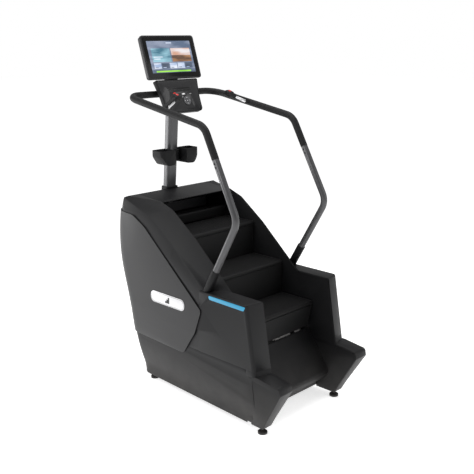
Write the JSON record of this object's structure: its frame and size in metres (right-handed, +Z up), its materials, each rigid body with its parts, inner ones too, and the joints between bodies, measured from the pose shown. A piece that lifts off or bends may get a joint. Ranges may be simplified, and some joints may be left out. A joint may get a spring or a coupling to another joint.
{
  "type": "stair climber",
  "caption": "Gym stair climber with revolving steps between two side covers, bent handrails, a tilted display and a keypad on a mast.",
  "frame": {"origin": "on the floor, midway between the sides and midway along the machine", "axes": "+X to the climber's right, +Y the way the climber faces, +Z up"},
  "size_m": [0.803, 1.3474, 2.1124],
  "materials": {
    "charcoal_plastic": null,
    "accent_plastic": null,
    "black_plastic": null,
    "light_strip": null,
    "badge_silver": null,
    "step_black": null,
    "frame_paint": null,
    "rail_metallic": null,
    "grip_black": null,
    "contact_steel": null,
    "display_black": null,
    "display_glass": null,
    "keypad_gloss": null,
    "red_button": null,
    "white_button": null,
    "grey_button": null,
    "chain_steel": null,
    "cast_aluminium": null,
    "belt_rubber": null,
    "foot_rubber": null,
    "board_green": null
  },
  "bodies": {
    "machine": {"left_upper_side_cover": "charcoal_plastic", "right_upper_side_cover": "charcoal_plastic", "left_lower_side_cover": "charcoal_plastic", "right_lower_side_cover": "charcoal_plastic", "hood": "charcoal_plastic", "rear_cover": "charcoal_plastic", "accent_panels": "accent_plastic", "light_bars": "light_strip", "badge_plates": "badge_silver", "inner_walls": "black_plastic", "kick_panel": "black_plastic", "keypad_housing": "black_plastic", "mast_collar": "black_plastic", "accessory_holder": "black_plastic", "power_inlet": "black_plastic", "console_bracket": "black_plastic", "base_frame": "frame_paint", "frame_plates": "frame_paint", "mast_beam": "frame_paint", "left_lower_handrail": "rail_metallic", "right_lower_handrail": "rail_metallic", "mast": "rail_metallic", "left_upper_handrail": "grip_black", "right_upper_handrail": "grip_black", "pulse_grips": "grip_black", "pulse_contacts": "contact_steel", "display_housing": "display_black", "display_glass": "display_glass", "keypad_face": "keypad_gloss", "shaft_bearings": "chain_steel", "alternator_case": "cast_aluminium", "drive_belts": "belt_rubber", "circuit_boards": "board_green"},
    "front_flight": {"tread_1": "step_black", "step_2": "step_black", "step_3": "step_black", "front_run_chains": "chain_steel"},
    "lowest_riser": {"riser_1": "step_black"},
    "return_flight": {"return_steps": "step_black", "return_run_chains": "chain_steel"},
    "upper_drum": {"upper_shaft": "chain_steel", "upper_chain_wraps": "chain_steel", "top_step": "step_black"},
    "lower_drum": {"lower_shaft": "chain_steel", "lower_chain_wraps": "chain_steel", "lower_folded_step": "step_black"},
    "intermediate_drum": {"intermediate_shaft": "chain_steel"},
    "alternator_drum": {"alternator_rotor": "cast_aluminium"},
    "stop_key": {"stop_button": "red_button"},
    "white_key_cap": {"white_key": "white_button"},
    "select_key_cap": {"select_key": "grey_button"},
    "direction_key_pad": {"direction_pad": "grey_button"},
    "left_pod_key": {"left_pod_button": "red_button"},
    "right_pod_key": {"right_pod_button": "red_button"},
    "power_rocker": {"power_switch": "grey_button"},
    "left_entry_leveller": {"left_entry_foot": "foot_rubber"},
    "right_entry_leveller": {"right_entry_foot": "foot_rubber"},
    "left_console_leveller": {"left_console_foot": "foot_rubber"},
    "right_console_leveller": {"right_console_foot": "foot_rubber"},
    "wheel_set": {"transport_wheels": "foot_rubber"}
  },
  "joints": [
    {"name": "stair_travel", "type": "slide", "parent": "machine", "child": "front_flight", "axis": [0, -0.7597, -0.6503], "range_m": [0, 0.05]},
    {"name": "lowest_riser_fold", "type": "hinge", "parent": "front_flight", "child": "lowest_riser", "pos_m": [0, -0.343, 0.548], "axis": [1, 0, 0], "range_deg": [0, 19.49]},
    {"name": "return_travel", "type": "slide", "parent": "machine", "child": "return_flight", "axis": [0, 0.7597, 0.6503], "range_m": [0, 0.051]},
    {"name": "upper_shaft_turn", "type": "hinge", "parent": "machine", "child": "upper_drum", "pos_m": [0, 0.39738, 0.81325], "axis": [1, 0, 0], "range_deg": [0, 23.4]},
    {"name": "lower_shaft_turn", "type": "hinge", "parent": "machine", "child": "lower_drum", "pos_m": [0, -0.1415, 0.352], "axis": [1, 0, 0], "range_deg": [0, 23.4]},
    {"name": "intermediate_turn", "type": "hinge", "parent": "machine", "child": "intermediate_drum", "pos_m": [0.31, 0.468, 0.52], "axis": [1, 0, 0], "range_deg": [0, 86.81]},
    {"name": "alternator_turn", "type": "hinge", "parent": "machine", "child": "alternator_drum", "pos_m": [0.31, 0.38, 0.24], "axis": [1, 0, 0], "range_deg": [0, 337.99]},
    {"name": "stop_press", "type": "slide", "parent": "machine", "child": "stop_key", "axis": [0, 0.9231, -0.3846], "range_m": [0, 0.0025], "stiffness_N_per_m": 600, "springref_m": -0.002},
    {"name": "white_key_press", "type": "slide", "parent": "machine", "child": "white_key_cap", "axis": [0, 0.9231, -0.3846], "range_m": [0, 0.0012], "stiffness_N_per_m": 600, "springref_m": -0.002},
    {"name": "select_press", "type": "slide", "parent": "machine", "child": "select_key_cap", "axis": [0, 0.9231, -0.3846], "range_m": [0, 0.0012], "stiffness_N_per_m": 600, "springref_m": -0.002},
    {"name": "direction_press", "type": "slide", "parent": "machine", "child": "direction_key_pad", "axis": [0, 0.9231, -0.3846], "range_m": [0, 0.0012], "stiffness_N_per_m": 600, "springref_m": -0.002},
    {"name": "left_pod_press", "type": "slide", "parent": "machine", "child": "left_pod_key", "axis": [0, 0.361, -0.9326], "range_m": [0, 0.0015], "stiffness_N_per_m": 600, "springref_m": -0.002},
    {"name": "right_pod_press", "type": "slide", "parent": "machine", "child": "right_pod_key", "axis": [0, 0.361, -0.9326], "range_m": [0, 0.0015], "stiffness_N_per_m": 600, "springref_m": -0.002},
    {"name": "power_rocker_tilt", "type": "hinge", "parent": "machine", "child": "power_rocker", "pos_m": [0.019, 0.554, 0.145], "axis": [1, 0, 0], "range_deg": [-8, 8]},
    {"name": "left_entry_foot_screw", "type": "slide", "parent": "machine", "child": "left_entry_leveller", "axis": [0, 0, -1], "range_m": [0, 0.015]},
    {"name": "left_console_foot_screw", "type": "slide", "parent": "machine", "child": "left_console_leveller", "axis": [0, 0, -1], "range_m": [0, 0.015]},
    {"name": "right_entry_foot_screw", "type": "slide", "parent": "machine", "child": "right_entry_leveller", "axis": [0, 0, -1], "range_m": [0, 0.015]},
    {"name": "right_console_foot_screw", "type": "slide", "parent": "machine", "child": "right_console_leveller", "axis": [0, 0, -1], "range_m": [0, 0.015]},
    {"name": "wheel_roll", "type": "hinge", "parent": "machine", "child": "wheel_set", "pos_m": [0, 0.506, 0.044], "axis": [1, 0, 0], "continuous": true}
  ],
  "couplings": [
    {"joint": "lowest_riser_fold", "follows": "stair_travel", "rad_per_m": 6.6},
    {"joint": "return_travel", "follows": "stair_travel", "ratio": 1},
    {"joint": "upper_shaft_turn", "follows": "stair_travel", "rad_per_m": 7.9395},
    {"joint": "lower_shaft_turn", "follows": "stair_travel", "rad_per_m": 7.9395},
    {"joint": "intermediate_turn", "follows": "stair_travel", "rad_per_m": 29.641},
    {"joint": "alternator_turn", "follows": "stair_travel", "rad_per_m": 115.6}
  ]
}
